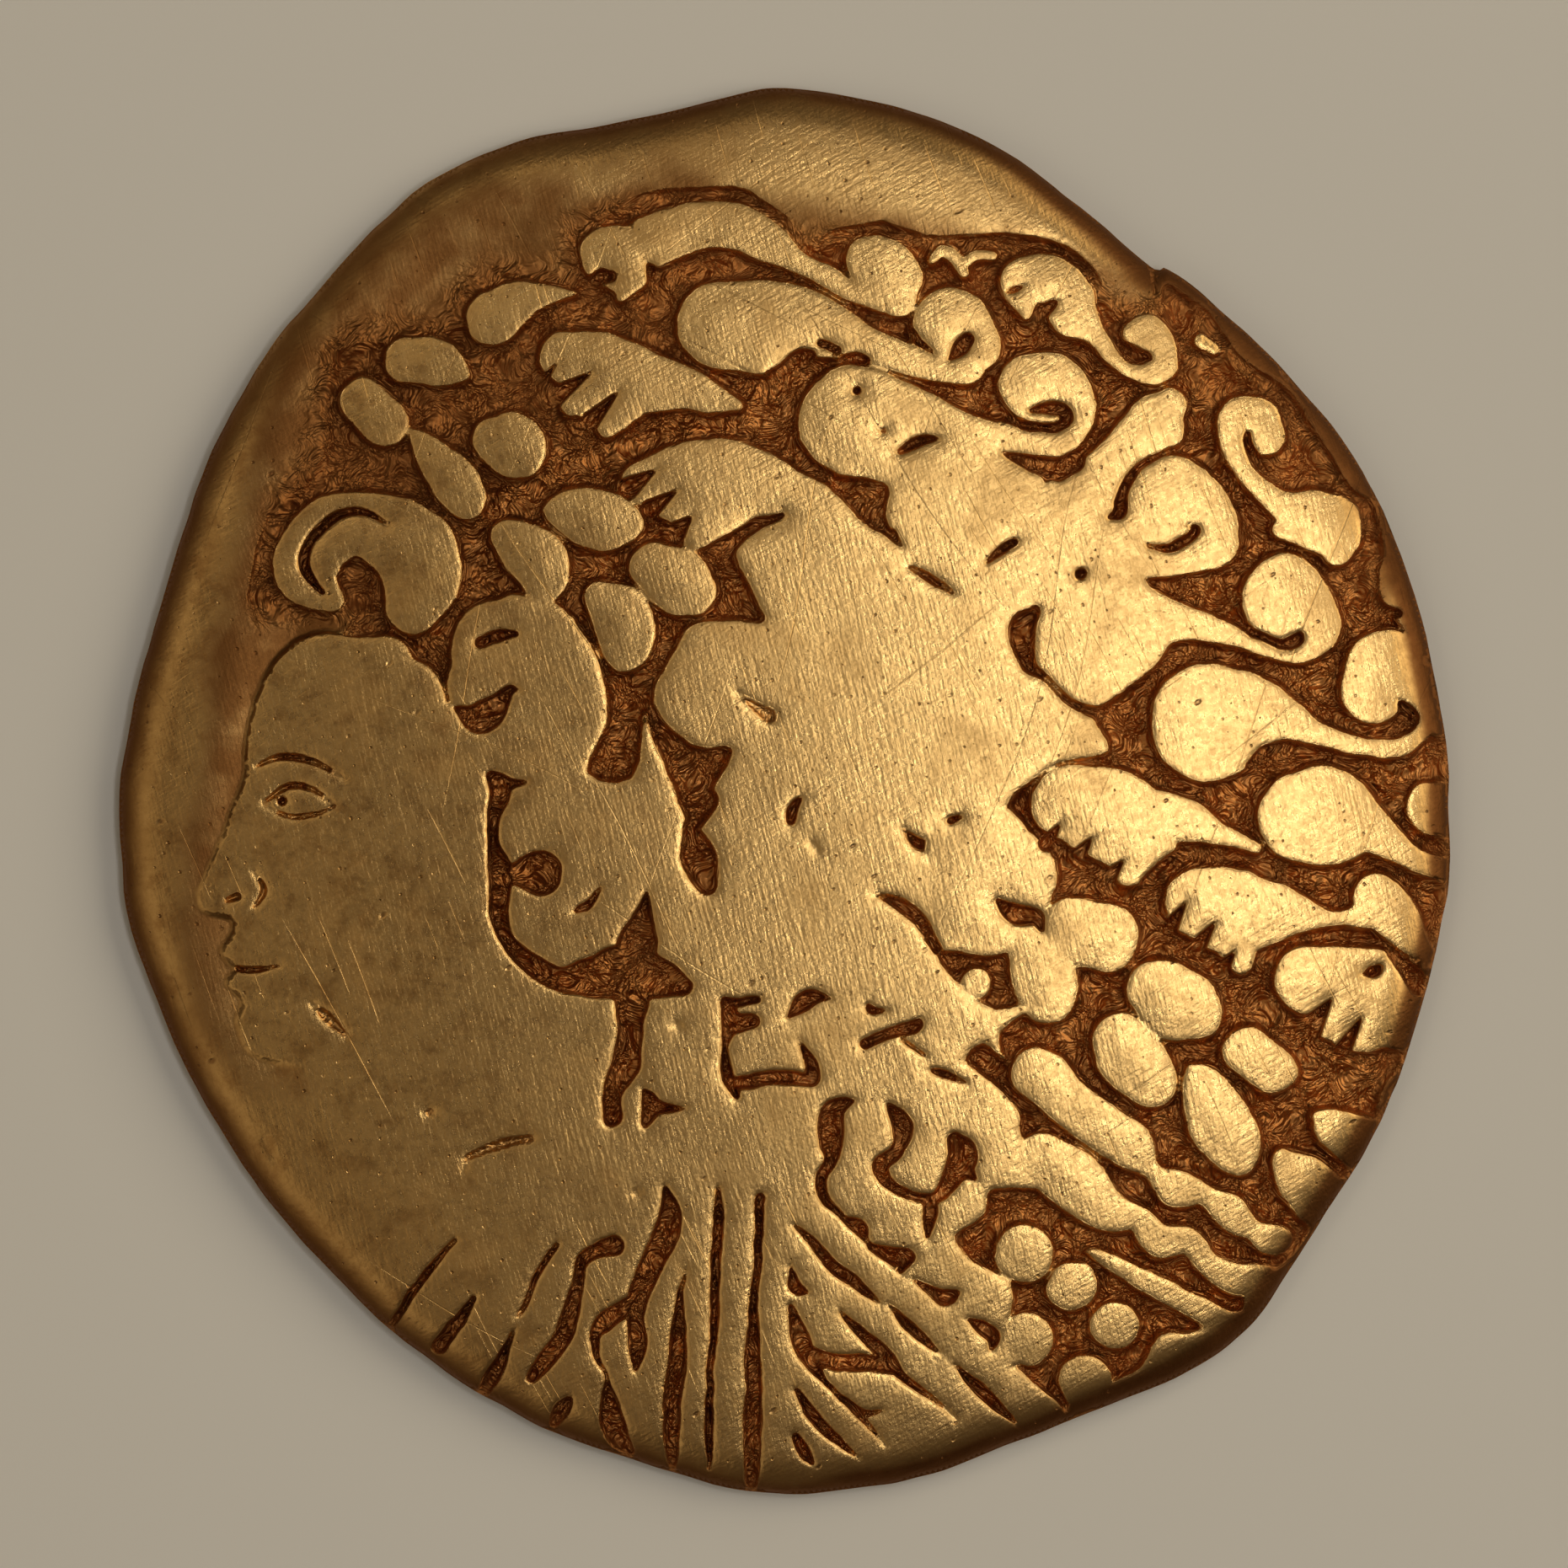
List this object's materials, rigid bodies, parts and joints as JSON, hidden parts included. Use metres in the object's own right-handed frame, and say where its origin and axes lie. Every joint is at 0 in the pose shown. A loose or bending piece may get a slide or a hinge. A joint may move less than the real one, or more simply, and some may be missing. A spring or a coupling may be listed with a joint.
{
  "type": "ancient gold coin",
  "caption": "Broad, slightly domed struck gold coin with an uneven rolled rim, a wreathed head in relief and a horse on the dished back.",
  "frame": {"origin": "centre of the coin's bounding box, on the table that the coin lies on", "axes": "+Z out of the front of the coin, +Y towards the crown of the head on it, +X to the reader's right"},
  "size_m": [0.025, 0.0264, 0.0016],
  "materials": {
    "gold": "worn satin gold with red-brown recesses"
  },
  "bodies": {
    "root": {"coin": "gold"}
  },
  "joints": []
}
